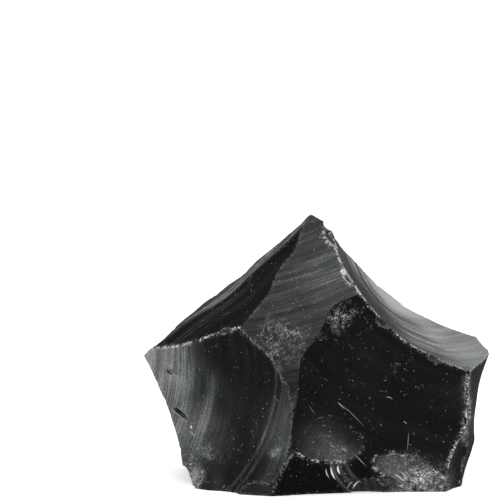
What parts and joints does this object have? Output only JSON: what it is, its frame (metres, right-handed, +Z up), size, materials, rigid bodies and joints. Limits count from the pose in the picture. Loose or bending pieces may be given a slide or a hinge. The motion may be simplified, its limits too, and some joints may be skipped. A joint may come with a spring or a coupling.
{
  "type": "rough obsidian chunk",
  "caption": "Palm-sized rough chunk of black volcanic glass with shell-like broken faces and sharp edges; stands on its flat base as a display stone or raw lapidary piece.",
  "frame": {"origin": "middle of the bounding box's bottom, on the plane of the stone's flat base", "axes": "+Z up, -Y towards the side with the large dark face, +X to the right seen from that side, along the longest extent"},
  "size_m": [0.0763, 0.049, 0.058],
  "materials": {
    "volcanic_glass": "fresh broken volcanic glass, near-black and greasy-shiny, with shell-like ripples, fine streaks, pale crushed edges and white dust specks"
  },
  "bodies": {
    "root": {"obsidian_chunk": "volcanic_glass"}
  },
  "joints": []
}
